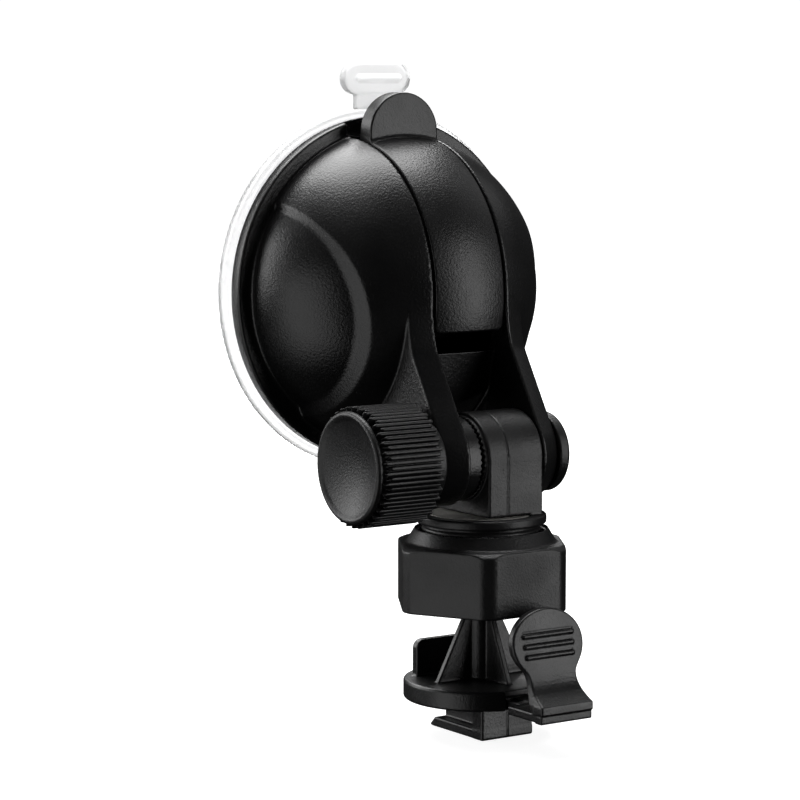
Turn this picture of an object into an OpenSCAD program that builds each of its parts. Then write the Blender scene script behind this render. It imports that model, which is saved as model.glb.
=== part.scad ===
// Suction-cup windscreen mount for a small in-vehicle camera.
// +Y is the outward normal of the suction face, +Z is up, -Y points into the cabin.
// The origin is the centre of the suction face. All sizes are in millimetres.

/* [Suction pad] */
// Radius of the clear suction pad
pad_r = 32.5; // [25:0.5:45]
// Thickness of the pad at its rim
pad_t = 1.6; // [1:0.1:3]
// Top of the pull tab above the pad centre
tab_top = 40.4; // [36:0.2:50]
// Half width of the pull tab bar
tab_half = 7.0; // [4:0.1:10]

/* [Housing] */
// Radius of the flange that presses the pad
flange_r = 30.9; // [24:0.1:44]
// Front face of the flange, measured from the glass
flange_h = 4.8; // [3:0.1:8]
// Outer radius of the dome
dome_r = 28.4; // [20:0.1:38]
// Centre of the dome, measured from the glass
dome_h = 3.5; // [2:0.1:10]
// Radius of the hollow inside the dome
hollow_r = 25.0; // [16:0.1:34]
// Half width of the lever slot and of the clevis gap
slot_half = 7.7; // [6:0.1:10]
// Half width over the clevis arms
arm_half = 12.0; // [10:0.1:15]
// Radius of the clevis arm ends
arm_r = 7.9; // [6:0.1:10]
// Depth of the thumb scoops on the sides
scoop_t = 1.3; // [0.5:0.1:2.4]

/* [Lock lever] */
// Half width of the lever
lever_half = 6.95; // [5:0.05:9]
// Radius of the lever face
lever_r = 28.3; // [20:0.1:36]
// Lower edge of the lever below the pad centre
lever_low = 5.8; // [4:0.1:9]
// Height of the centre of the round thumb tab
thumb_z = 28.0; // [24:0.1:36]
// Back of the thumb tab, measured from the glass
thumb_h = 7.2; // [6:0.1:12]
// Cam eccentricity
cam_e = 2.16; // [1:0.02:3]
// Cam radius
cam_r = 5.0; // [3:0.1:7]
// Distance of the lever pin from the glass
pin_h = 25.0; // [20:0.1:30]

/* [Clevis pivot] */
// Pivot axis, distance from the glass
pivot_h = 34.2; // [28:0.1:44]
// Pivot axis, distance below the pad centre
pivot_z = 27.1; // [20:0.1:36]
// Clamp knob outer radius over the ribs
knob_r = 10.3; // [8:0.1:14]
// Number of long ribs around the knob
knob_n = 36; // [24:1:48]

/* [Ball joint] */
// Ball centre below the pad centre
ball_z = 45.0; // [40:0.1:52]
// Ball radius
ball_r = 7.5; // [6:0.1:9]
// Radius of the nut over its blunted corners
nut_r = 15.7; // [13:0.1:19]
// Nut width across flats
nut_af = 28.2; // [24:0.1:34]

/* [Camera stud] */
// Radius of the round foot plate
foot_r = 13.5; // [10:0.1:18]
// Top of the foot plate below the pad centre
foot_top = 65.8; // [58:0.1:74]
// Thickness of the foot plate
foot_t = 3.4; // [2:0.1:5]
// Half width of the camera shoe
shoe_half = 5.4; // [4:0.1:8]
// Underside of the camera shoe below the pad centre
shoe_low = 75.1; // [70:0.1:84]

/* [View] */
// Which sub-part to draw, or all of them

/* [Hidden] */
$fn = 96;
eps = 0.01;
pin_gap = 0.05;
gap = 0.3;
foot_low = foot_top + foot_t;
black = [0.09, 0.09, 0.095];

// Turn a profile of [radius, distance from the glass] about the pad axis.
module about_pad() {
  rotate([90, 0, 0]) rotate_extrude() children();
}

// Turn a profile of [radius, height] about the upright ball axis.
module about_stud() {
  translate([0, -pivot_h, 0]) rotate_extrude() children();
}

// A round bar along X between two stations, on an axis at distance h and height z.
module bar_x(r, x0, x1, h, z, fn = 96) {
  translate([x0, -h, z]) rotate([0, 90, 0]) cylinder(r = r, h = x1 - x0, $fn = fn);
}

// A box between two corners.
module box(a, b) {
  translate(a) cube(b - a);
}

// Extrude a [distance from the glass, height] outline along X.
module side_plate(x0, x1) {
  translate([x0, 0, 0]) rotate([90, 0, 90]) linear_extrude(x1 - x0) children();
}

module suction_pad() {
  color([0.93, 0.95, 0.96, 0.4]) about_pad() polygon([
    [0, 0], [pad_r - 0.5, 0], [pad_r, 0.4], [pad_r, pad_t - 0.3], [pad_r - 0.3, pad_t],
    [22, pad_t], [16, 2.2], [10.5, 3.4], [10, 6.2], [3.5, 6.2], [3.5, 4.9], [7.0, 4.9],
    [7.0, 3.1], [0, 3.1]
  ]);
}

module pull_tab() {
  bar_z = tab_top - 2.8;
  color([0.93, 0.95, 0.96, 0.4]) difference() {
    union() {
      box([-4.2, -pad_t - 0.2, pad_r - 4], [4.2, -0.3, bar_z]);
      box([-tab_half + 2.8, -2.4, bar_z - 2.8], [tab_half - 2.8, -0.2, bar_z + 2.8]);
      for (s = [-1, 1]) translate([s * (tab_half - 2.8), -0.2, bar_z])
        rotate([90, 0, 0]) cylinder(r = 2.8, h = 2.2);
      box([-4.2, -3.0, bar_z - 0.7], [4.2, -2.4 + eps, bar_z + 0.7]);
      for (s = [-1, 1]) translate([s * 4.2, -2.4 + eps, bar_z])
        rotate([90, 0, 0]) cylinder(r = 0.7, h = 0.6 + eps);
    }
    rotate([90, 0, 0]) translate([0, 0, -1]) cylinder(r = pad_r, h = 4);
  }
}

// Outline of the dome and flange, [radius, distance from the glass].
module shell_outline() {
  difference() {
    union() {
      translate([0, dome_h]) circle(r = dome_r);
      translate([0, pad_t]) square([flange_r, flange_h - pad_t]);
      translate([0, flange_h - 0.1]) square([dome_r + 0.4, 0.9]);
    }
    translate([-60, -60]) square([60, 160]);
    translate([0, -60]) square([60, 60 + pad_t]);
    translate([flange_r - 0.7, flange_h - 0.7]) difference() {
      square([2, 2]);
      circle(r = 0.7);
    }
  }
}

// Outline of the hollow behind the dome, [radius, distance from the glass].
module hollow_outline() {
  difference() {
    union() {
      translate([0, dome_h]) circle(r = hollow_r);
      square([hollow_r, dome_h]);
    }
    translate([-60, -60]) square([60, 160]);
    translate([0, -60]) square([60, 60]);
    translate([0, 13.4]) square([60, 2.8]);
  }
}

// Side view of the clevis arms, [distance toward the glass, height].
module arm_outline() {
  translate([-pivot_h, -pivot_z]) circle(r = arm_r);
  polygon([
    [-41.01, -23.1], [-31.27, -6.5], [-30.4, -1], [-24, 3], [-14, 3], [-11.8, -10.3],
    [-27.8, -31.2]
  ]);
}

module base_housing() {
  color(black) difference() {
    union() {
      about_pad() shell_outline();
      for (s = [0, 1]) mirror([s, 0, 0]) side_plate(slot_half, arm_half) arm_outline();
    }
    // hollow behind the dome, with the guide web left standing
    about_pad() hollow_outline();
    rotate([90, 0, 0]) cylinder(r = 3.5, h = 20);
    // lever slot through the dome, above the clevis gap
    difference() {
      box([-slot_half, -60, -9.7], [slot_half, -dome_h - 0.2, 60]);
      rotate([90, 0, 0]) translate([0, 0, dome_h]) sphere(r = hollow_r - 0.2);
    }
    // flat wall between the arms
    box([-slot_half, -60, -40], [slot_half, -27.3, 0]);
    // thumb scoops on both sides
    for (s = [0, 1]) mirror([s, 0, 0]) scoop_cut();
    // pivot bores through both arms
    bar_x(2.6, -20, 20, pivot_h, -pivot_z);
  }
}

// One thumb scoop: a shallow step down from the dome, bounded by a long arc.
module scoop_cut() {
  difference() {
    translate([75.9, -flange_h - 0.8, -10.9]) rotate([90, 0, 0])
      cylinder(r = 59, h = 40, $fn = 240);
    translate([2.5 * scoop_t, -dome_h, 0]) sphere(r = dome_r - 2.5 * scoop_t);
  }
}

module wear_plate() {
  color([0.62, 0.63, 0.65]) difference() {
    box([-7.0, -17.2, -8], [7.0, -16.2, 9]);
    rotate([90, 0, 0]) cylinder(r = 3.5, h = 30);
  }
}

module pad_stem() {
  color([0.13, 0.13, 0.14]) difference() {
    union() {
      rotate([90, 0, 0]) translate([0, 0, 4.6]) cylinder(r = 3.1, h = pin_h - 6);
      bar_x(3.8, -2.9, 2.9, pin_h, 0);
      box([-2.9, -pin_h, -2.6], [2.9, -20.5, 2.6]);
    }
    bar_x(1.5, -5, 5, pin_h, 0);
  }
}

module stem_plate() {
  color([0.66, 0.67, 0.69]) rotate([90, 0, 0]) translate([0, 0, 3.4]) cylinder(r = 6.7, h = 1.2);
}

module lever_pin() {
  color([0.7, 0.71, 0.73]) bar_x(1.5, -6.3, 6.3, pin_h, 0);
}

module lock_lever() {
  color(black) difference() {
    union() {
      // curved face band
      intersection() {
        difference() {
          intersection() {
            translate([0, -dome_h, 0]) sphere(r = lever_r, $fn = 180);
            box([-lever_half, -40, -30], [lever_half, 0, 30]);
          }
          bar_x(26.1, -10, 10, dome_h, 0, 180);
        }
        union() {
          box([-10, -40, -lever_low], [10, -20, 10]);
          box([-10, -40, 9.9], [10, -thumb_h, 40]);
        }
      }
      // half-round thumb tab
      translate([0, -thumb_h, thumb_z]) rotate([90, 0, 0]) cylinder(r = 7.2, h = 3.4);
      box([-7.2, -thumb_h - 3.4, 24.0], [7.2, -thumb_h, thumb_z]);
      // cam cheeks and the ribs that carry them
      for (s = [0, 1]) mirror([s, 0, 0]) {
        bar_x(cam_r, 3.2, 6.3, pin_h - 2.03, 0.74);
        box([3.2, -30.0, -4.6], [6.3, -pin_h, 5.5]);
        box([3.2, -28.0, 3.0], [6.3, -22.6, 11.5]);
      }
    }
    bar_x(1.5 + pin_gap, -8, 8, pin_h, 0);
    // soft lower corners of the face
    for (s = [0, 1]) mirror([s, 0, 0]) translate([lever_half - 1.2, 0, -lever_low + 1.2])
      difference() {
        box([0, -40, -2], [2, 0, 0]);
        rotate([90, 0, 0]) cylinder(r = 1.2, h = 50);
      }
  }
}

module pivot_bolt() {
  color([0.62, 0.63, 0.65]) {
    bar_x(2.5, -24.5, 12.3, pivot_h, -pivot_z);
    bar_x(4.2, 12.3, 13.2, pivot_h, -pivot_z, 6);
  }
}

module bolt_cap() {
  color(black) difference() {
    union() {
      bar_x(6.1, arm_half, 12.5, pivot_h, -pivot_z);
      bar_x(7.0, 12.4, 13.8, pivot_h, -pivot_z);
      translate([13.8, -pivot_h, -pivot_z]) rotate([0, 90, 0])
        cylinder(r1 = 7.0, r2 = 6.6, h = 0.4);
    }
    bar_x(2.6, 10, 12.4, pivot_h, -pivot_z);
    bar_x(4.3, 12.3, 13.3, pivot_h, -pivot_z, 6);
  }
}

// Crown of radial teeth: a flat ring with V notches across its face.
module crown_cut(n, r, depth) {
  for (i = [0:n - 1]) rotate([i * 360 / n, 0, 0]) translate([0, 0, 3])
    linear_extrude(r) polygon([[0.02, -0.52], [0.02, 0.52], [-depth, 0]]);
}

module serrated_ring() {
  color([0.12, 0.12, 0.125]) difference() {
    bar_x(7.2, -slot_half, -4.9, pivot_h, -pivot_z);
    bar_x(2.7, -9, 0, pivot_h, -pivot_z);
    translate([-4.9, -pivot_h, -pivot_z]) crown_cut(36, 6, 0.6);
  }
}

module knob_washer() {
  color([0.2, 0.2, 0.205]) difference() {
    bar_x(7.4, -14.5, -arm_half - gap, pivot_h, -pivot_z);
    bar_x(2.6, -20, 0, pivot_h, -pivot_z);
  }
}

// Cross-section of the knob barrel with n rounded-off ribs.
module rib_star(n) {
  polygon([for (i = [0:n - 1]) for (p = [[-0.5, 0], [-0.3, 1], [0.3, 1]])
    (knob_r - 0.75 + 0.75 * p[1]) * [cos((i + p[0]) * 360 / n), sin((i + p[0]) * 360 / n)]]);
}

module clamp_knob() {
  color(black) translate([0, -pivot_h, -pivot_z]) rotate([0, 90, 0]) difference() {
    intersection() {
      translate([0, 0, -27.0]) linear_extrude(12.2) rib_star(2 * knob_n);
      translate([0, 0, -27.0]) cylinder(r1 = knob_r - 0.9, r2 = knob_r + 11.3, h = 12.2);
    }
    translate([0, 0, -40]) cylinder(r = 3.6, h = 40);
    translate([0, 0, -40]) cylinder(r = 8.6, h = 14.4);
    translate([0, 0, -25.6 - eps]) cylinder(r = 5.2, h = 4.6, $fn = 6);
  }
}

module knob_cap() {
  color(black) translate([0, -pivot_h, -pivot_z]) rotate([0, -90, 0]) rotate_extrude() polygon([
    [0, 25.7], [8.5, 25.7], [8.5, 27.1], [9.4, 27.1], [9.6, 27.35], [9.4, 27.7], [8.9, 27.75],
    [8.6, 27.45], [7.5, 27.15], [5.5, 26.9], [0, 26.75]
  ]);
}

module knob_insert() {
  color([0.72, 0.6, 0.34]) difference() {
    bar_x(5.15, -25.5, -21.1, pivot_h, -pivot_z, 6);
    bar_x(2.56, -30, -10, pivot_h, -pivot_z);
  }
}

module knuckle() {
  color([0.1, 0.1, 0.105]) difference() {
    union() {
      bar_x(7.9, -4.0, 7.4, pivot_h, -pivot_z);
      bar_x(7.2, -4.6, -3.9, pivot_h, -pivot_z);
      box([-4.0, -pivot_h - 7.9, -37.0], [7.4, -pivot_h + 7.9, -pivot_z]);
      about_stud() polygon([
        [0, -36.9], [11.0, -36.9], [11.3, -37.2], [11.3, -38.2], [11.0, -38.5], [9.9, -38.5],
        [9.9, -39.3], [10.3, -39.6], [9.9, -39.9], [9.9, -40.8], [10.3, -41.1], [9.9, -41.4],
        [9.9, -42.3], [10.3, -42.6], [9.9, -42.9], [9.9, -43.8], [10.3, -44.1], [9.9, -44.4],
        [9.9, -46.0], [0, -46.0]
      ]);
    }
    about_stud() translate([0, -50]) square([9.2, 13.4]);
    bar_x(2.65, -9, 9, pivot_h, -pivot_z);
    translate([-4.6, -pivot_h, -pivot_z]) rotate([5, 0, 0]) mirror([1, 0, 0]) crown_cut(36, 6, 0.55);
    // parting line round the barrel and down both faces
    difference() {
      bar_x(9, -0.15, 0.15, pivot_h, -pivot_z);
      bar_x(7.75, -1, 1, pivot_h, -pivot_z);
      box([-1, -pivot_h - 7.75, -45], [1, -pivot_h + 7.75, -pivot_z]);
    }
    for (s = [-1, 1]) translate([0, -pivot_h + s * 7.9, -34.4])
      cube([0.3, 0.3, 4.8], center = true);
  }
}

module ball_seat() {
  color([0.78, 0.78, 0.76]) translate([0, -pivot_h, 0]) difference() {
    translate([0, 0, -45.3]) cylinder(r = 8.9, h = 8.4);
    translate([0, 0, -ball_z]) sphere(r = ball_r + gap);
    translate([0, 0, -46]) cylinder(r = 3, h = 12);
    translate([0, 0, -46]) cylinder(r = ball_r + gap, h = 46 - ball_z);
  }
}

module pressure_ring() {
  color([0.78, 0.78, 0.76]) translate([0, -pivot_h, 0]) difference() {
    translate([0, 0, -50.2]) cylinder(r = 10.3, h = 3.3);
    translate([0, 0, -ball_z]) sphere(r = ball_r + gap);
    translate([0, 0, -52]) cylinder(r = 6.2, h = 10);
  }
}

module lock_nut() {
  color(black) difference() {
    union() {
      translate([0, -pivot_h, -53.1]) intersection() {
        cylinder(r = nut_af / sqrt(3), h = 11.9, $fn = 6);
        rotate([0, 0, 30]) cylinder(r = nut_r / cos(30), h = 11.9, $fn = 6);
        cylinder(r1 = nut_r + 6.4, r2 = nut_r - 0.75, h = 11.9);
      }
      about_stud() polygon([[0, -41.3], [13.1, -41.3], [12.1, -39.9], [0, -39.9]]);
    }
    about_stud() polygon([
      [0, -30], [11.5, -30], [11.5, -40.2], [10.7, -41.0], [10.7, -50.5], [7.2, -50.5],
      [7.2, -52.2], [8.4, -54], [0, -54]
    ]);
  }
}

module ball() {
  color([0.11, 0.11, 0.115]) difference() {
    translate([0, -pivot_h, -ball_z]) sphere(r = ball_r);
    translate([0, -pivot_h, -ball_z - 12]) cylinder(r = 2.4, h = 8);
  }
}

module stud_post() {
  color([0.1, 0.1, 0.105]) translate([0, -pivot_h, -foot_top])
    cylinder(r = 2.4, h = foot_top - ball_z - 4);
}

module stud_fins() {
  color([0.1, 0.1, 0.105]) translate([0, -pivot_h, -foot_top]) difference() {
    for (a = [0, 90, 180, 270]) rotate([0, 0, a]) translate([0, 0.55, 0]) rotate([90, 0, 0])
      linear_extrude(1.1) polygon([
        [0, 0], [a == 270 ? 8.6 : 9.4, 0], [a == 270 ? 2.2 : 2.5, 13.6], [0, 13.6]
      ]);
    translate([0, 0, -1]) cylinder(r = 2.4, h = 20);
    translate([-5, 6.3, -1]) cube([10, 10, 20]);
  }
}

module foot_plate() {
  color([0.1, 0.1, 0.105]) difference() {
    about_stud() polygon([
      [0, -foot_top], [foot_r - 0.5, -foot_top], [foot_r, -foot_top - 0.5],
      [foot_r, -foot_low + 0.5], [foot_r - 0.5, -foot_low], [0, -foot_low]
    ]);
    box([-3.9, -60, -foot_low - 1], [3.9, -pivot_h - 10.6, -foot_top - 1.1]);
    box([-3.9, -60, -foot_low - 1], [3.9, -pivot_h - 12.4, -foot_top + 1]);
  }
}

module stop_wall() {
  color([0.1, 0.1, 0.105]) difference() {
    box([-9.1, -27.9, -foot_top], [9.1, -26.3, -59.4]);
    for (s = [0, 1]) mirror([s, 0, 0]) translate([9.1 - 1.6, 0, -59.4 - 1.6]) difference() {
      box([0, -40, 0], [3, 0, 3]);
      translate([0, 1, 0]) rotate([90, 0, 0]) cylinder(r = 1.6, h = 50);
    }
  }
}

module camera_shoe() {
  color([0.1, 0.1, 0.105]) difference() {
    side_plate(-shoe_half, shoe_half) polygon([
      [-42.1, -foot_low], [-42.1, -shoe_low + 0.3], [-41.8, -shoe_low], [-26.2, -shoe_low],
      [-28.2, -shoe_low + 1.8], [-28.2, -foot_low]
    ]);
    for (s = [0, 1]) mirror([s, 0, 0])
      box([3.3, -39.1, -shoe_low + 1.7], [9, -20, -foot_low + eps]);
    box([-0.15, -43, -shoe_low + 0.3], [0.15, -41.9, -foot_low]);
  }
}

module latch_arm() {
  color([0.1, 0.1, 0.105]) difference() {
    union() {
      box([-3.5, -50.0, -69.1], [3.5, -45.2, -67.3]);
      box([-5.4, -57.6, -69.1], [5.4, -49.4, -67.6]);
      box([-5.4, -58.8, -69.3], [5.4, -57.5, -67.9]);
      box([-5.4, -59.1, -67.9], [5.4, -57.0, -66.3]);
    }
    for (s = [0, 1]) mirror([s, 0, 0]) box([1.6, -48.9, -67.9], [3.1, -45.8, -66]);
  }
}

// Front outline of the thumb tab, [across, height].
module latch_front() {
  neck = [[5.5, -60.6], [5.1, -61.3], [4.9, -62.2], [4.9, -63.2], [5.1, -64.6], [5.4, -66.3],
    [5.4, -68]];
  polygon(concat(
    [for (p = neck) [-p[0], p[1]]],
    [for (i = [len(neck) - 1:-1:0]) neck[i]],
    [for (a = [-33:6:213]) [7.4 * cos(a), -56.8 + 5.92 * sin(a)]]
  ));
}

// Side outline of the thumb tab, [distance toward the glass, height].
module latch_side() {
  polygon([
    [-52.8, -50.4], [-53.0, -52.6], [-53.4, -55.2], [-53.9, -57.8], [-54.5, -60.2],
    [-55.3, -62.4], [-56.3, -64.2], [-57.5, -65.5], [-59.1, -66.3], [-57.0, -67.6],
    [-56.2, -67.6], [-55.0, -65.9], [-54.0, -63.4], [-53.1, -60.7], [-52.4, -58.1],
    [-51.9, -55.4], [-51.5, -52.8], [-51.3, -50.4]
  ]);
}

module latch_tab() {
  color([0.1, 0.1, 0.105]) intersection() {
    union() {
      side_plate(-9, 9) latch_side();
      for (i = [0:2]) translate([0, -53.3 - 0.34 * i, -55.2 - 1.75 * i]) rotate([0, 90, 0])
        cylinder(r = 0.45, h = 10, center = true, $fn = 24);
    }
    translate([0, -40, 0]) rotate([90, 0, 0]) linear_extrude(30) latch_front();
    box([-10, -70, -66.3], [10, -40, -40]);
  }
}

suction_pad();
pull_tab();
base_housing();
wear_plate();
pad_stem();
stem_plate();
lever_pin();
lock_lever();
pivot_bolt();
bolt_cap();
serrated_ring();
knob_washer();
clamp_knob();
knob_cap();
knob_insert();
knuckle();
ball_seat();
pressure_ring();
lock_nut();
ball();
stud_post();
stud_fins();
foot_plate();
stop_wall();
camera_shoe();
latch_arm();
latch_tab();
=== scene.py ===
import math

import bpy
import numpy as np
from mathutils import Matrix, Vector


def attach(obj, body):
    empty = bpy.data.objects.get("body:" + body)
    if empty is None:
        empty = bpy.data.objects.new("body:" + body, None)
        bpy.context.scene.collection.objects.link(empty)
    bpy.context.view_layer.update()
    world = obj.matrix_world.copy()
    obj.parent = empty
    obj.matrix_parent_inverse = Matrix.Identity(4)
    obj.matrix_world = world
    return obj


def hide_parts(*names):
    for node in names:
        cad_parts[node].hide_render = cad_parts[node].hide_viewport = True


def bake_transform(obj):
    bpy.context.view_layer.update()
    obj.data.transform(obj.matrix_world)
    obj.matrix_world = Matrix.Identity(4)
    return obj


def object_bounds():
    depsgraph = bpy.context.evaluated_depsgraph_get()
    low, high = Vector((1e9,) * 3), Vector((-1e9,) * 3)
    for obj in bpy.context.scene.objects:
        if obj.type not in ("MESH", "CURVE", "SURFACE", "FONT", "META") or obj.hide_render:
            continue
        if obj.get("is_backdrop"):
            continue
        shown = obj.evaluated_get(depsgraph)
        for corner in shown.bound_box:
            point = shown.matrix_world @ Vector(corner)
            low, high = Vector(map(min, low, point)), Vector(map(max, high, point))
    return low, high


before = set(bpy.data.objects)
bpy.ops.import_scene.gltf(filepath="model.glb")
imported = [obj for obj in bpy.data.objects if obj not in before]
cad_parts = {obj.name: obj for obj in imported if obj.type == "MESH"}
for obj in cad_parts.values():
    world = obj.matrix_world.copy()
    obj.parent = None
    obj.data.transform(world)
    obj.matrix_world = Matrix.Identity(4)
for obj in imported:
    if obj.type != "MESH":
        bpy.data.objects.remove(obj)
cad_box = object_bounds()
MM = 0.001


# ---------------------------------------------------------------- distance fields
def hyp(*v):
    return np.sqrt(sum(c * c for c in v))


def both(a, b, r=0.0):
    """Where a and b overlap, with the edge between them rounded to r."""
    if r <= 0:
        return np.maximum(a, b)
    return np.minimum(-r, np.maximum(a, b)) + np.hypot(
        np.maximum(r + a, 0), np.maximum(r + b, 0)
    )


def join(a, b, r=0.0):
    """a and b together, with a fillet of r where they meet."""
    return -both(-a, -b, r)


def cut(a, b, r=0.0):
    """a without b, with the new edge rounded to r."""
    return both(a, -b, r)


def slab(v, lo, hi):
    return np.abs(v - (lo + hi) / 2) - (hi - lo) / 2


def rect(u, v, lo, hi, r=0.0):
    """A rectangle with round corners, in two coordinates."""
    a = np.abs(u - (lo[0] + hi[0]) / 2) - (hi[0] - lo[0]) / 2 + r
    b = np.abs(v - (lo[1] + hi[1]) / 2) - (hi[1] - lo[1]) / 2 + r
    return np.hypot(np.maximum(a, 0), np.maximum(b, 0)) + np.minimum(np.maximum(a, b), 0) - r


def block(x, y, z, lo, hi, r=0.0):
    """A box with round edges and corners."""
    q = [np.abs(v - (a + b) / 2) - (b - a) / 2 + r for v, a, b in zip((x, y, z), lo, hi)]
    out = hyp(*[np.maximum(c, 0) for c in q])
    return out + np.minimum(np.maximum(np.maximum(q[0], q[1]), q[2]), 0) - r


def outline(u, v, points, r=0.0):
    """A polygon, grown by r with round corners."""
    pts = np.array(points, float)
    best = np.full(np.shape(u), 1e12)
    sign = np.ones(np.shape(u))
    for a, b in zip(pts, np.roll(pts, -1, 0)):
        e = b - a
        wu, wv = u - a[0], v - a[1]
        t = np.clip((wu * e[0] + wv * e[1]) / (e @ e), 0, 1)
        best = np.minimum(best, (wu - e[0] * t) ** 2 + (wv - e[1] * t) ** 2)
        up, down = v >= a[1], v < b[1]
        left = e[0] * wv > e[1] * wu
        sign = np.where((up & down & left) | ~(up | down | left), -sign, sign)
    return sign * np.sqrt(best) - r


def curve(points, steps=5):
    """A smooth line through the points."""
    p = np.array([points[0], *points, points[-1]], float)
    t = np.linspace(0, 1, steps, endpoint=False)[:, None]
    out = [
        0.5 * (2 * b + (c - a) * t + (2 * a - 5 * b + 4 * c - d) * t**2
               + (3 * b - a - 3 * c + d) * t**3)
        for a, b, c, d in zip(p, p[1:], p[2:], p[3:])
    ]
    return [tuple(q) for q in np.concatenate(out + [p[-1:]])]


# ---------------------------------------------------------------- meshing
CORNERS = np.array([(i, j, k) for i in (0, 1) for j in (0, 1) for k in (0, 1)])
EDGES = [
    (a, b)
    for a in range(8)
    for b in range(a + 1, 8)
    if np.abs(CORNERS[a] - CORNERS[b]).sum() == 1
]
BLOCK = 8


def sample(field, pts, piece=400000):
    return np.concatenate(
        [field(*pts[i : i + piece].T) for i in range(0, len(pts), piece)]
    )


def skin(field, lo, hi, cell, polish=2):
    """Vertices and quads on field = 0, as surface nets in the blocks the surface can cross."""
    lo, hi = np.array(lo, float), np.array(hi, float)
    count = np.ceil((hi - lo) / (cell * BLOCK)).astype(int)
    at = np.stack(np.meshgrid(*map(np.arange, count), indexing="ij"), -1).reshape(-1, 3)
    reach = 0.5 * math.sqrt(3) * cell * BLOCK * 1.5
    at = at[np.abs(sample(field, lo + (at + 0.5) * cell * BLOCK)) < reach]
    grid = np.arange(BLOCK + 1)
    local = np.stack(np.meshgrid(grid, grid, grid, indexing="ij"), -1).reshape(-1, 3)
    nodes = (at[:, None] * BLOCK + local[None]).reshape(-1, 3)
    value = sample(field, lo + nodes * cell).reshape(-1, *[BLOCK + 1] * 3)

    n = BLOCK
    corner = [value[:, i : i + n, j : j + n, k : k + n] for i, j, k in CORNERS]
    inside = np.array([c < 0 for c in corner])
    active = inside.any(0) & ~inside.all(0)
    where = np.argwhere(active)
    held = np.array([c[active] for c in corner])
    base = at[where[:, 0]] * n + where[:, 1:]
    total, hits = np.zeros((len(base), 3)), np.zeros(len(base))
    for a, b in EDGES:
        m = (held[a] < 0) != (held[b] < 0)
        t = held[a][m] / (held[a][m] - held[b][m])
        total[m] += CORNERS[a] + t[:, None] * (CORNERS[b] - CORNERS[a])
        hits[m] += 1
    verts = lo + (base + total / hits[:, None]) * cell

    span = count * n + 2
    key = lambda c: (c[:, 0] * span[1] + c[:, 1]) * span[2] + c[:, 2]
    ids = key(base)
    order = np.argsort(ids)
    ranked = ids[order]
    quads = []
    for axis in range(3):
        u, w = np.eye(3, dtype=int)[(axis + 1) % 3], np.eye(3, dtype=int)[(axis + 2) % 3]
        step = [slice(None), slice(0, n), slice(0, n), slice(0, n)]
        far = list(step)
        far[axis + 1] = slice(1, n + 1)
        first, second = value[tuple(step)] < 0, value[tuple(far)] < 0
        hit = np.argwhere(first != second)
        c = at[hit[:, 0]] * n + hit[:, 1:]
        ring = np.stack(
            [order[np.searchsorted(ranked, key(q))] for q in (c, c - u, c - u - w, c - w)], 1
        )
        out = first[tuple(hit.T)]
        quads.append(np.where(out[:, None], ring, ring[:, ::-1]))
    quads = np.concatenate(quads)

    e = 0.01
    for _ in range(polish):
        d = sample(field, verts)
        g = np.stack(
            [
                (sample(field, verts + s * e) - sample(field, verts - s * e)) / (2 * e)
                for s in np.eye(3)
            ],
            1,
        )
        move = g * (d / np.maximum((g * g).sum(1), 0.2))[:, None]
        size = np.linalg.norm(move, axis=1, keepdims=True)
        verts = verts - move * np.minimum(1, 0.5 * cell / np.maximum(size, 1e-9))
    return verts, quads


def solid(name, body, material, nodes, field, lo, hi, cell):
    """One mesh piece of the object, riding on a body in place of CAD nodes."""
    verts, quads = skin(field, lo, hi, cell)
    mesh = bpy.data.meshes.new(name)
    mesh.vertices.add(len(verts))
    mesh.vertices.foreach_set("co", (verts * MM).ravel())
    mesh.loops.add(quads.size)
    mesh.loops.foreach_set("vertex_index", quads.ravel().astype(np.int32))
    mesh.polygons.add(len(quads))
    mesh.polygons.foreach_set("loop_start", np.arange(0, quads.size, 4, dtype=np.int32))
    mesh.update(calc_edges=True)
    mesh.polygons.foreach_set("use_smooth", np.ones(len(quads), bool))
    mesh.validate()
    mesh.materials.append(material)
    obj = bpy.data.objects.new(name, mesh)
    bpy.context.scene.collection.objects.link(obj)
    if body:
        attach(obj, body)
    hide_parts(*nodes)
    return obj


# ---------------------------------------------------------------- dimensions, mm
PIVOT_Y, PIVOT_Z = -34.2, -27.1
DOME_H, DOME_R = 3.5, 28.4
FLANGE_R, FLANGE_H = 30.9, 4.8
SLOT, ARM, ARM_R = 7.7, 12.0, 7.95
SLOT_LOW, WALL_H, WALL_LEAN = -9.7, 27.3, 0.27
HOLLOW_R = 25.0
PIN_H, LEVER_INNER_R = 25.0, 26.1
SCOOP_X, SCOOP_Z, SCOOP_R = 75.9, -10.9, 59.0


def pivot_radius(y, z):
    return np.hypot(y - PIVOT_Y, z - PIVOT_Z)


def stud_radius(x, y):
    return np.hypot(x, y - PIVOT_Y)


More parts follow.
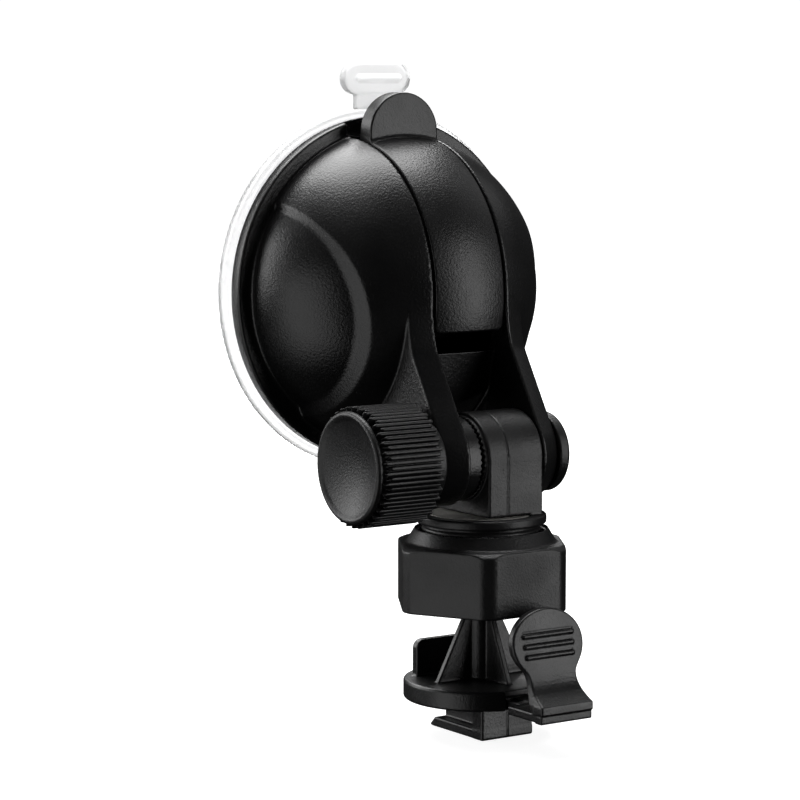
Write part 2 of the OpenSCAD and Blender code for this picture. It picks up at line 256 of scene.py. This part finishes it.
# ---------------------------------------------------------------- shapes
def housing(x, y, z):
    h, ax = -y, np.abs(x)
    rad = np.hypot(x, z)
    ball = hyp(x, h - DOME_H, z)
    dome = both(ball - DOME_R, 1.7 - h, 0.2)
    # thumb scoops: a band sloping in from a long arc, then a shallow floor
    inside = np.hypot(ax - SCOOP_X, z - SCOOP_Z) - SCOOP_R
    bevel = (DOME_R + 0.85 * inside - ball) / 1.31
    floor = 25.3 - hyp(ax - 3.1, h - DOME_H, z)
    dome = cut(dome, both(bevel, floor, 0.3), 0.15)
    flange = both(rad - FLANGE_R, slab(h, 2.0, FLANGE_H), 0.4)
    shell = join(dome, flange, 0.5)
    # arms: crowned front, so the outer edge lies further back
    hc = h + (np.minimum(ax, ARM) ** 2 - SLOT**2) / 43
    round_end = np.hypot(hc + PIVOT_Y, z - PIVOT_Z) - ARM_R
    front = outline(-hc, z, [(-41.06, -23.08), (-28.6, -2.7), (-24, 3), (-14, 3), (-11.8, -10.3),
                             (-27.8, -31.0)])
    side = join(round_end, front)
    arms = both(side, slab(ax, SLOT, ARM), 0.3)
    body = join(shell, arms, 0.0)
    # concave blend from the dome down onto the arm fronts, in front of their middle line
    blend = both(join(ball - DOME_R, side, 3.2), slab(ax, SLOT, ARM), 0.3)
    body = np.minimum(body, both(blend, -0.859 * (h - 30) - 0.512 * (z + 20)))
    hollow = both(np.minimum(ball - HOLLOW_R, both(rad - HOLLOW_R, h - DOME_H)), -slab(h, 13.4, 16.2), 0.3)
    hollow = np.minimum(hollow, both(rad - 3.5, slab(h, -5, 20)))
    slot = both(both(ax - SLOT, SLOT_LOW - z, 0.5), HOLLOW_R - 0.2 - ball)
    slot = both(slot, DOME_H + 0.2 - h)
    # the wall between the arms leans back toward its foot
    wall = both(both(ax - SLOT, z), WALL_H + WALL_LEAN * np.minimum(z + 9.5, 0) - h, 0.2)
    body = cut(body, np.minimum(slot, wall), 0.2)
    body = cut(body, hollow, 0.3)
    # pocket in the flange behind the thumb tab
    pocket = both(both(ax - 8.2, slab(z, 27.6, 30.1), 0.3), 2.9 - h, 0.2)
    body = cut(body, pocket, 0.15)
    return cut(body, pivot_radius(y, z) - 2.6, 0.2)


THUMB_Z, THUMB_R, THUMB_BACK, THUMB_FRONT = 28.0, 7.2, 7.2, 10.6


def lever(x, y, z):
    h, ax = -y, np.abs(x)
    ball = hyp(x, h - DOME_H, z)
    tube = np.hypot(h - DOME_H, z)
    face = both(ball - (DOME_R - 0.1), LEVER_INNER_R - tube, 0.2)
    face = both(face, rect(x, z, (-THUMB_R, -5.8), (THUMB_R, 60), 1.2), 0.2)
    face = both(face, THUMB_BACK - h, 0.3)
    tab = np.minimum(np.hypot(x, z - THUMB_Z) - THUMB_R,
                     rect(x, z, (-THUMB_R, 24.0), (THUMB_R, THUMB_Z)))
    tab = both(tab, slab(h, THUMB_BACK, THUMB_FRONT), 0.22)
    shell = both(join(face, tab, 0.8), ax - THUMB_R, 0.2)
    cheek = both(np.hypot(h - 22.97, z - 0.74) - 5.0, slab(ax, 3.2, 6.3), 0.25)
    rib = both(rect(h, z, (22.6, 3.0), (28.0, 11.5), 0.3), slab(ax, 3.2, 6.3), 0.25)
    web = both(rect(h, z, (PIN_H, -4.6), (30.0, 5.5), 0.3), slab(ax, 3.2, 6.3), 0.25)
    shell = join(shell, np.minimum(np.minimum(cheek, rib), web), 0.3)
    return cut(shell, np.hypot(h - PIN_H, z) - 1.55, 0.1)


def bolt_cap(x, y, z):
    r = pivot_radius(y, z)
    cap = both(r - 7.0, x - 14.2, 0.8)
    cap = both(cap, 12.0 - x, 0.1)
    return cut(cap, both(r - 4.3, x - 13.3), 0.1)


def teeth(x, y, z, count, phase):
    """Height of a crown of radial teeth, 0 at the roots and 1 at the tips."""
    turn = np.arctan2(z - PIVOT_Z, y - PIVOT_Y) * count / (2 * math.pi) + phase
    return 1 - 2 * np.abs(turn - np.round(turn))


TEETH = 45


def serrated_ring(x, y, z):
    r = pivot_radius(y, z)
    top = -5.32 + 0.38 * teeth(x, y, z, TEETH, 0.5)
    ring = both(r - 7.3, np.maximum(-SLOT - x, (x - top) * 0.8), 0.08)
    return cut(ring, r - 2.7, 0.1)


def knob_washer(x, y, z):
    r = pivot_radius(y, z)
    disc = both(r - 7.4, slab(x, -14.5, -12.3), 0.3)
    return cut(disc, r - 2.6, 0.1)


KNOB_RIBS = 72


def knob(x, y, z):
    r = pivot_radius(y, z)
    pitch = 2 * math.pi / KNOB_RIBS
    turn = np.arctan2(z - PIVOT_Z, y - PIVOT_Y) / pitch
    near = np.round(turn)
    across = np.abs(turn - near) * pitch * r
    long_rib = np.mod(near, 2) == 0
    left = np.where(long_rib, -26.95, -26.0)
    core = both(r - 9.15 + 0.5 * np.maximum(-25.9 - x, 0), slab(x, -27.0, -14.8), 0.3)
    rib = both(across - np.minimum(0.29, 0.4 * (x - left)), r - 10.3, 0.16)
    rib = both(rib, slab(x, -26.95, np.where(long_rib, -14.9, -15.45)), 0.12)
    body = join(core, rib * 0.95, 0.06)
    body = cut(body, both(r - 8.6, x + 25.6, 0.1), 0.15)
    return cut(body, r - 3.6, 0.1)


def knob_cap(x, y, z):
    r = pivot_radius(y, z)
    s = -x
    # deeply dished face inside a bead rim
    dish = s - (25.95 + 1.5 * (np.minimum(r, 8.2) / 8.2) ** 2)
    disc = both(both(r - 9.35, dish, 0.4), 25.65 - s, 0.1)
    disc = both(disc, join(r - 8.5, 27.05 - s))
    bead = np.hypot(r - 8.95, s - 27.2) - 0.62
    return join(disc, bead, 0.4)


def knuckle(x, y, z):
    r = pivot_radius(y, z)
    q = stud_radius(x, y)
    barrel = both(r - 7.9, slab(x, -4.0, 7.4), 0.35)
    block_ = both(slab(y, PIVOT_Y - 7.9, PIVOT_Y + 7.9), slab(x, -4.0, 7.4), 0.35)
    block_ = both(block_, slab(z, -37.0, PIVOT_Z))
    body = np.minimum(barrel, block_)
    top = -4.72 + 0.38 * teeth(x, y, z, TEETH, 0.5)
    disc = both(r - 7.3, np.maximum((top - x) * 0.8, x + 3.5), 0.08)
    body = np.minimum(body, disc)
    flange = both(q - 11.3, slab(z, -38.5, -36.9), 0.4)
    body = join(body, flange, 0.35)
    collar = both(q - 9.9, slab(z, -46.0, -38.0), 0.2)
    turn = np.mod(z + 39.6 + 0.75, 1.5) - 0.75
    thread = both(np.hypot(q - 9.75, turn) - 0.55, slab(z, -45.6, -38.9), 0.1)
    body = join(body, join(collar, thread, 0.1), 0.15)
    body = cut(body, both(q - 9.2, z + 36.6, 0.2), 0.15)
    body = cut(body, r - 2.65, 0.2)
    # parting line round the barrel and down both faces
    seam = np.hypot(x, np.where(z > PIVOT_Z, r, np.abs(y - PIVOT_Y)) - 7.9) - 0.13
    return cut(body, both(seam, -37.0 - z), 0.05)


NUT_TURN = math.radians(-1)
NUT_TOP, NUT_LOW = -41.8, -53.1


def nut(x, y, z):
    q = stud_radius(x, y)
    turn = np.arctan2(y - PIVOT_Y, x) - NUT_TURN
    # corners point along turn = 0, 60, 120 ...; flats lie halfway between
    flat_at = np.mod(turn, math.pi / 3) - math.pi / 6
    corner_at = np.mod(turn + math.pi / 6, math.pi / 3) - math.pi / 6
    flats = q * np.cos(flat_at) - 14.1
    blunt = q * np.cos(corner_at) - 15.65
    side = both(flats, blunt, 0.3)
    body = both(side, slab(z, NUT_LOW, NUT_TOP), 0.35)
    # the corners are chamfered down at the top
    body = both(body, (z - NUT_TOP + 0.8 * (q - 14.75)) * 0.78, 0.15)
    cone = both((q - 13.0 + 0.6 * (z - NUT_TOP)) * 0.86, -both(-z - 39.6, z + 60), 0.3)
    cone = both(cone, -(z + 42.4))
    body = join(body, cone, 0.3)
    bore = np.minimum(both(q - 11.4, -39.9 - z), both(q - 10.7, slab(z, -50.5, -39.0)))
    bore = np.minimum(bore, both(q - 7.2 - 0.7 * np.maximum(-52.2 - z, 0), slab(z, -60, -50.0)))
    return cut(body, bore, 0.25)


FOOT_TOP, FOOT_LOW, FOOT_R = -65.8, -69.2, 13.5
FIN_HALF = 0.55


def stud(x, y, z):
    q = stud_radius(x, y)
    cy = y - PIVOT_Y
    up = z - FOOT_TOP
    post = both(q - 2.4, slab(z, FOOT_LOW + 0.5, -49.0))
    fins = []
    # the fin on the glass side stops short, behind the stop wall
    for along, across, reach, stop in (
        (cy, x, 9.4, 7.2), (-cy, x, 8.6, 8.6), (x, cy, 9.4, 9.4), (-x, cy, 9.4, 9.4)
    ):
        slope = outline(along, up, [(-0.5, -1), (reach, -1), (reach, 0), (2.4, 13.6), (-0.5, 13.6)])
        fins.append(both(np.maximum(slope, along - stop), np.abs(across) - FIN_HALF, 0.15))
    body = join(post, np.minimum.reduce(fins), 0.3)
    plate = both(q - FOOT_R, slab(z, FOOT_LOW, FOOT_TOP), 0.5)
    plate = join(plate, body, 0.35)
    notch_deep = both(both(np.abs(x) - 3.9, cy + 10.6, 0.2), z - (FOOT_TOP - 1.1), 0.1)
    notch = both(np.abs(x) - 3.9, cy + 12.4, 0.2)
    plate = cut(plate, np.minimum(notch_deep, notch), 0.2)
    wall = both(rect(x, z, (-9.1, -67.0), (9.1, -59.4), 1.6), slab(y, -27.9, -26.3), 0.3)
    body = join(plate, wall, 0.35)
    neck = block(x, y, z, (-3.3, -40.5, -74), (3.3, -28.2, -68.5), 0.2)
    lips = both(
        outline(y, z, [(-41.8, -74.8), (-26.9, -74.8), (-28.0, -73.7), (-41.8, -73.7)], 0.3),
        np.abs(x) - 5.4, 0.25)
    end = block(x, y, z, (-5.4, -42.1, -75.1), (5.4, -39.1, -68.6), 0.35)
    shoe = join(join(neck, lips, 0.2), end, 0.2)
    seam = np.hypot(x, y + 42.1) - 0.12
    shoe = cut(shoe, both(seam, z + 69.4), 0.05)
    return join(body, shoe, 0.25)


TAB_OUTER = curve([(-52.8, -50.4), (-53.4, -55.2), (-54.5, -60.2), (-56.1, -64.0), (-59.1, -66.3)])
TAB_INNER = curve([(-59.1, -67.6), (-56.2, -67.6), (-54.3, -64.2), (-52.6, -58.9), (-51.6, -53.6),
                   (-51.3, -50.4)])
TAB_WAIST = curve([(5.9, -59.6), (5.1, -61.5), (4.9, -62.8), (5.1, -64.6), (5.4, -66.3)])


def latch(x, y, z):
    ax = np.abs(x)
    side = outline(y, z, TAB_OUTER + TAB_INNER)
    head = (np.hypot(x / 7.4, (z + 56.8) / 5.92) - 1) * 5.92
    waist = outline(ax, z, [(-1, -58)] + TAB_WAIST + [(5.4, -68), (-1, -68)])
    front = join(head, waist, 0.4)
    tab = both(side, front, 0.35)
    for i in range(3):
        zc = -55.2 - 1.75 * i
        yc = -53.45 - 0.34 * i
        half = 5.0 - 0.12 * i
        bar = hyp(np.maximum(ax - half, 0), y - yc, z - zc) - 0.36
        groove = hyp(np.maximum(ax - half, 0), y - yc - 0.02, z - zc - 0.6) - 0.22
        tab = join(cut(tab, groove, 0.15), bar, 0.25)
    tongue = block(x, y, z, (-3.5, -50.4, -69.1), (3.5, -45.2, -67.3), 0.2)
    for s in (-1, 1):
        tongue = cut(tongue, block(x, y, z, (1.6 if s > 0 else -3.1, -48.9, -67.9),
                                   (3.1 if s > 0 else -1.6, -45.8, -66), 0.2), 0.1)
    shelf = block(x, y, z, (-5.4, -57.8, -69.1), (5.4, -49.4, -67.6), 0.25)
    low = block(x, y, z, (-5.4, -58.85, -69.3), (5.4, -57.0, -67.75), 0.3)
    top = block(x, y, z, (-5.4, -59.1, -67.9), (5.4, -56.8, -66.3), 0.3)
    foot = join(join(shelf, low, 0.1), top, 0.08)
    return join(join(foot, tongue, 0.2), tab, 0.25)


def pad(x, y, z):
    h = -y
    rad = np.hypot(x, z)
    disc = outline(rad, h, [(-5, 0), (32.0, 0), (32.5, 0.4), (32.5, 1.3), (32.2, 1.6), (22, 1.6),
                            (16, 2.2), (10.5, 3.4), (10, 6.2), (3.5, 6.2), (3.5, 4.9), (7.0, 4.9),
                            (7.0, 3.1), (-5, 3.1)])
    # fine moulded steps round the rim
    disc = cut(disc, np.hypot(rad - 31.6, h - 1.8) - 0.45, 0.1)
    disc = cut(disc, np.hypot(rad - 32.8, h - 0.9) - 0.5, 0.1)
    return disc


def pull_tab(x, y, z):
    h = -y
    stem = block(x, h, z, (-4.2, 0.3, 32.1), (4.2, 1.8, 37.6), 0.3)
    bar = both(rect(x, z, (-7.0, 34.8), (7.0, 40.4), 2.79), slab(h, 0.2, 2.4), 0.3)
    rib = hyp(np.maximum(np.abs(x) - 4.2, 0), (h - 2.35), z - 37.6) - 0.68
    return join(join(stem, bar, 0.3), rib, 0.15)


# ---------------------------------------------------------------- materials
def new_material(name):
    m = bpy.data.materials.new(name)
    m.use_nodes = True
    return m, m.node_tree.nodes, m.node_tree.links, m.node_tree.nodes["Principled BSDF"]


def noise(nodes, links, coord, scale, detail, roughness=0.5):
    """A noise texture in the object's own coordinates."""
    n = nodes.new("ShaderNodeTexNoise")
    n.inputs["Scale"].default_value = scale
    n.inputs["Detail"].default_value = detail
    n.inputs["Roughness"].default_value = roughness
    links.new(coord.outputs["Object"], n.inputs["Vector"])
    return n.outputs["Fac"]


def remap(nodes, links, value, target, lo, hi, start=0.0, end=1.0):
    """Drive target with value, moved from start..end to lo..hi."""
    n = nodes.new("ShaderNodeMapRange")
    for key, v in zip(("From Min", "From Max", "To Min", "To Max"), (start, end, lo, hi)):
        n.inputs[key].default_value = v
    links.new(value, n.inputs["Value"])
    links.new(n.outputs["Result"], target)


def relief(nodes, links, height, bsdf, strength, distance):
    """Bump the surface by a height, distance in mm."""
    n = nodes.new("ShaderNodeBump")
    n.inputs["Strength"].default_value = strength
    n.inputs["Distance"].default_value = distance * MM
    links.new(height, n.inputs["Height"])
    links.new(n.outputs["Normal"], bsdf.inputs["Normal"])


def tone(nodes, links, value, bsdf, dark, light, start=0.0, end=1.0):
    """Base colour that runs from dark to light with value."""
    n = nodes.new("ShaderNodeValToRGB")
    for stop, at, colour in zip(n.color_ramp.elements, (start, end), (dark, light)):
        stop.position = at
        stop.color = (*colour, 1)
    links.new(value, n.inputs["Fac"])
    links.new(n.outputs["Color"], bsdf.inputs["Base Color"])


def moulded(name, colour, rough, grain=0.42, depth=0.065, mottle=0.25):
    """Spark-textured moulded plastic: grain in the bump, slow changes in roughness and colour."""
    m, nodes, links, bsdf = new_material(name)
    coord = nodes.new("ShaderNodeTexCoord")
    fine = noise(nodes, links, coord, 1 / (grain * MM), 2.0, 0.6)
    broad = noise(nodes, links, coord, 90.0, 3.0)
    relief(nodes, links, fine, bsdf, 1.0, depth)
    remap(nodes, links, broad, bsdf.inputs["Roughness"],
          rough * (1 - mottle / 2), rough * (1 + mottle / 2), 0.3, 0.7)
    dark, light = [c * 0.85 for c in colour], [c * 1.2 for c in colour]
    tone(nodes, links, broad, bsdf, dark, light, 0.3, 0.75)
    bsdf.inputs["IOR"].default_value = 1.5
    return m


def turned_metal(name, colour, rough):
    m = moulded(name, colour, rough, grain=0.2, depth=0.004, mottle=0.5)
    m.node_tree.nodes["Principled BSDF"].inputs["Metallic"].default_value = 1.0
    return m


def clear_plastic(name):
    """Milky clear plastic with a faintly cloudy, soft surface."""
    m, nodes, links, bsdf = new_material(name)
    bsdf.inputs["IOR"].default_value = 1.38
    bsdf.inputs["Transmission Weight"].default_value = 0.8
    coord = nodes.new("ShaderNodeTexCoord")
    cloud = noise(nodes, links, coord, 300.0, 3.0)
    remap(nodes, links, cloud, bsdf.inputs["Roughness"], 0.22, 0.42)
    tone(nodes, links, cloud, bsdf, (0.93, 0.935, 0.94), (0.99, 0.99, 0.99))
    relief(nodes, links, cloud, bsdf, 0.5, 0.02)
    return m


BLACK = (0.011, 0.011, 0.0115)
M = {
    "housing_black": moulded("housing_black", BLACK, 0.33),
    "lever_black": moulded("lever_black", BLACK, 0.36),
    "knob_black": moulded("knob_black", BLACK, 0.42),
    "knuckle_black": moulded("knuckle_black", BLACK, 0.42),
    "nut_black": moulded("nut_black", BLACK, 0.42),
    "stud_black": moulded("stud_black", BLACK, 0.36),
    "latch_black": moulded("latch_black", BLACK, 0.34),
    "nylon_natural": moulded("nylon_natural", (0.6, 0.59, 0.55), 0.45),
    "steel": turned_metal("steel", (0.55, 0.56, 0.58), 0.3),
    "brass": turned_metal("brass", (0.7, 0.5, 0.22), 0.3),
    "clear_tpu": clear_plastic("clear_tpu"),
}

# ---------------------------------------------------------------- pieces
soft_pad = solid("suction_pad_clear", None, M["clear_tpu"], ["suction_pad"],
                 pad, (-34, -8, -34), (34, 2, 34), 0.4)
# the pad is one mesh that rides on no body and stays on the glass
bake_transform(soft_pad)
solid("pull_tab_clear", "base", M["clear_tpu"], ["pull_tab"],
      pull_tab, (-8, -4, 31), (8, 1, 42), 0.2)
solid("housing_shell", "base", M["housing_black"], ["base_housing"],
      housing, (-33, -43.5, -36), (33, 0, 33), 0.34)
solid("lock_lever_shell", "lever", M["lever_black"], ["lock_lever"],
      lever, (-8.5, -34, -8), (8.5, -5, 38), 0.22)
solid("bolt_cap_shell", "base", M["knob_black"], ["bolt_cap"],
      bolt_cap, (11, -43, -36), (16, -25, -18), 0.2)
solid("toothed_ring", "base", M["housing_black"], ["serrated_ring"],
      serrated_ring, (-8.6, -43, -36), (-4, -25, -18), 0.14)
solid("knob_washer_disc", "washer", M["knob_black"], ["knob_washer"],
      knob_washer, (-16, -43, -36), (-11, -25, -18), 0.22)
solid("clamp_knob_ribbed", "knob", M["knob_black"], ["clamp_knob"],
      knob, (-28, -46, -39), (-14, -22, -15), 0.14)
solid("knob_cap_disc", "knob", M["knob_black"], ["knob_cap"],
      knob_cap, (-29, -45, -38), (-25, -23, -16), 0.17)
solid("lower_arm", "knuckle", M["knuckle_black"], ["knuckle"],
      knuckle, (-12.5, -46.5, -47), (12.5, -22, -18), 0.19)
solid("ball_nut", "nut", M["nut_black"], ["lock_nut"],
      nut, (-17.5, -52, -54.5), (17.5, -16.5, -38), 0.22)
solid("camera_stud", "stud", M["stud_black"],
      ["stud_post", "stud_fins", "foot_plate", "stop_wall", "camera_shoe"],
      stud, (-14.5, -49, -76.5), (14.5, -19.5, -48), 0.2)
solid("stop_latch", "latch", M["latch_black"], ["latch_arm", "latch_tab"],
      latch, (-8.6, -60.5, -70.5), (8.6, -44, -49.5), 0.16)

KEPT = {
    "wear_plate": "steel", "pad_stem": "stud_black", "stem_plate": "steel", "lever_pin": "steel",
    "pivot_bolt": "steel", "knob_insert": "brass", "ball_seat": "nylon_natural",
    "pressure_ring": "nylon_natural", "ball": "stud_black",
}
for node, slot_name in KEPT.items():
    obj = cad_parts[node]
    obj.data.materials.clear()
    obj.data.materials.append(M[slot_name])

# ---------------------------------------------------------------- stage, light, camera
floor_z = cad_box[0][2] - 0.0001


def stage_plane(name, z, half, material):
    mesh = bpy.data.meshes.new(name)
    mesh.from_pydata([(-half, -half, z), (half, -half, z), (half, half, z), (-half, half, z)],
                     [], [(0, 1, 2, 3)])
    mesh.materials.append(material)
    obj = bpy.data.objects.new(name, mesh)
    bpy.context.scene.collection.objects.link(obj)
    obj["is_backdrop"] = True
    obj.visible_glossy = False
    obj.visible_diffuse = False
    return obj


# a pale floor with a painted glow (emission) that is weaker near the object, as painted shade under it,
# and lifts to the white of the backdrop away from it
floor_material, nodes, links, bsdf = new_material("floor_pale")
bsdf.inputs["Base Color"].default_value = (0.5, 0.5, 0.5, 1)
bsdf.inputs["Roughness"].default_value = 0.9
bsdf.inputs["Specular IOR Level"].default_value = 0.0
bsdf.inputs["Emission Color"].default_value = (1, 1, 1, 1)
coord = nodes.new("ShaderNodeTexCoord")
reach = nodes.new("ShaderNodeVectorMath")
reach.operation = "LENGTH"
links.new(coord.outputs["Object"], reach.inputs[0])
# painted glow: emission strength runs from 0.86 near the object to 1.05 farther out; the weaker glow near
# the object is painted shade
remap(nodes, links, reach.outputs["Value"], bsdf.inputs["Emission Strength"], 0.86, 1.05, 0.05, 0.35)
stage_plane("floor", floor_z, 6.0, floor_material)

world = bpy.data.worlds.new("studio")
bpy.context.scene.world = world
world.use_nodes = True
nt = world.node_tree
nt.nodes.clear()
out = nt.nodes.new("ShaderNodeOutputWorld")
mix = nt.nodes.new("ShaderNodeMixShader")
path = nt.nodes.new("ShaderNodeLightPath")
seen = nt.nodes.new("ShaderNodeMath")
seen.operation = "MAXIMUM"
dim = nt.nodes.new("ShaderNodeBackground")
dim.inputs["Color"].default_value = (1, 1, 1, 1)
dim.inputs["Strength"].default_value = 0.015
white = nt.nodes.new("ShaderNodeBackground")
white.inputs["Color"].default_value = (1, 1, 1, 1)
white.inputs["Strength"].default_value = 1.05
nt.links.new(path.outputs["Is Camera Ray"], seen.inputs[0])
nt.links.new(path.outputs["Is Transmission Ray"], seen.inputs[1])
# only rays that have not bounced off the object see the white backdrop
bounced = nt.nodes.new("ShaderNodeMath")
bounced.operation = "ADD"
nt.links.new(path.outputs["Glossy Depth"], bounced.inputs[0])
nt.links.new(path.outputs["Diffuse Depth"], bounced.inputs[1])
direct = nt.nodes.new("ShaderNodeMath")
direct.operation = "LESS_THAN"
direct.inputs[1].default_value = 0.5
nt.links.new(bounced.outputs[0], direct.inputs[0])
backdrop = nt.nodes.new("ShaderNodeMath")
backdrop.operation = "MULTIPLY"
nt.links.new(seen.outputs[0], backdrop.inputs[0])
nt.links.new(direct.outputs[0], backdrop.inputs[1])
nt.links.new(backdrop.outputs[0], mix.inputs[0])
nt.links.new(dim.outputs[0], mix.inputs[1])
nt.links.new(white.outputs[0], mix.inputs[2])
nt.links.new(mix.outputs[0], out.inputs["Surface"])

AIM = Vector((0, -0.025, -0.015))


def softbox(name, az, el, distance, width, height, radiance):
    """A soft area light that shines at the object from azimuth az and elevation el, degrees."""
    a, e = math.radians(az), math.radians(el)
    way = Vector((math.sin(a) * math.cos(e), -math.cos(a) * math.cos(e), math.sin(e)))
    light = bpy.data.lights.new(name, "AREA")
    light.shape = "RECTANGLE"
    light.size, light.size_y = width, height
    light.energy = radiance * 4 * width * height
    obj = bpy.data.objects.new(name, light)
    bpy.context.scene.collection.objects.link(obj)
    obj.location = AIM + way * distance
    obj.rotation_euler = (-way).to_track_quat("-Z", "Y").to_euler()
    obj.visible_camera = False
    obj.visible_transmission = False
    return obj


softbox("key_overhead", 165, 57, 1.0, 0.9, 1.15, 5.5)
softbox("side_left", -142, 15, 1.1, 0.75, 0.62, 3.0)
softbox("low_left", -88, -14, 1.1, 0.9, 1.2, 0.9)
softbox("back_right", 95, 35, 1.2, 0.6, 0.5, 0.35)
softbox("front_right", 36, 3, 1.2, 0.55, 1.15, 2.7)

camera_data = bpy.data.cameras.new("camera")
camera = bpy.data.objects.new("camera", camera_data)
bpy.context.scene.collection.objects.link(camera)
bpy.context.scene.camera = camera
camera_data.lens = 135.0
camera_data.sensor_width = 36.0
camera.location = (-0.30071, -0.45079, 0.04107)
CAM_AZ, CAM_EL = math.radians(-34.255), math.radians(6.487)
back = Vector((math.sin(CAM_AZ) * math.cos(CAM_EL), -math.cos(CAM_AZ) * math.cos(CAM_EL),
               math.sin(CAM_EL)))
camera.rotation_euler = back.to_track_quat("Z", "Y").to_euler()
bpy.context.scene.view_settings.view_transform = "Standard"

visual_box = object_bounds()
as_lists = lambda b: [list(map(float, c)) if hasattr(c, "__len__") else float(c) for c in b]
{"cad": as_lists(cad_box), "visual": as_lists(visual_box)}
